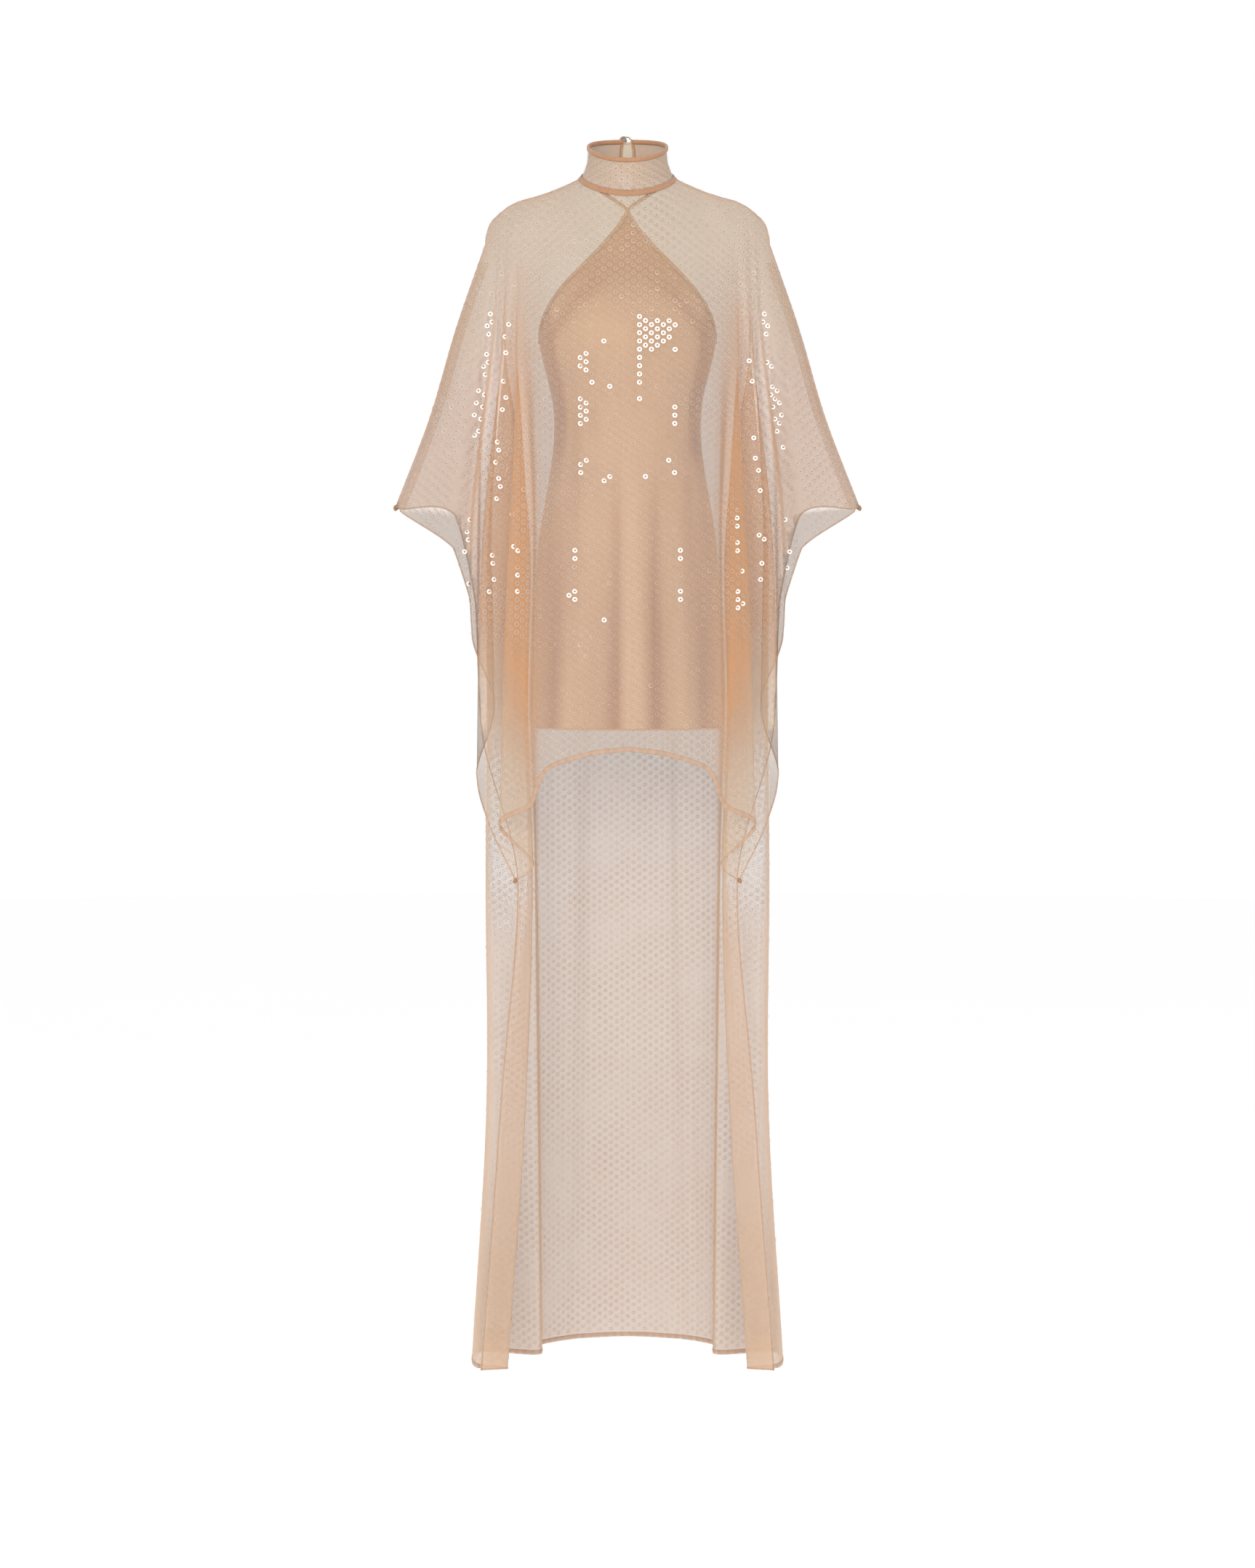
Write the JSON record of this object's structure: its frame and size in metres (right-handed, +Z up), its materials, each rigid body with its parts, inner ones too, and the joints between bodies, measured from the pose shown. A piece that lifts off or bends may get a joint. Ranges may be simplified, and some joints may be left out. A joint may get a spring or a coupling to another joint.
{
  "type": "sheer kaftan",
  "caption": "Floor-length sheer high-low kaftan with a stand collar, draped open sides, a keyhole back and an attached halter slip, shown as worn.",
  "frame": {"origin": "middle of the neck seam, level with the side of the neck, where the garment hangs from the wearer", "axes": "+Z up as worn, the front faces -Y, +X to the right as seen from the front"},
  "size_m": [0.6784, 0.2775, 1.7908],
  "materials": {
    "sheer_tulle": "sheer nude tulle covered with clear round sequins",
    "slip_satin": "soft matte nude lining cloth",
    "bias_binding": "plain tan bias binding",
    "button": "small smooth grey-brown button"
  },
  "bodies": {
    "root": {"front_panel": "sheer_tulle", "back_panel": "sheer_tulle", "collar": "sheer_tulle", "collar_top_binding": "bias_binding", "neck_seam_band": "bias_binding", "keyhole_binding": "bias_binding", "slip_front": "slip_satin", "slip_back": "slip_satin", "strap_left": "bias_binding", "strap_right": "bias_binding", "button": "button", "button_loop": "bias_binding"}
  },
  "joints": []
}
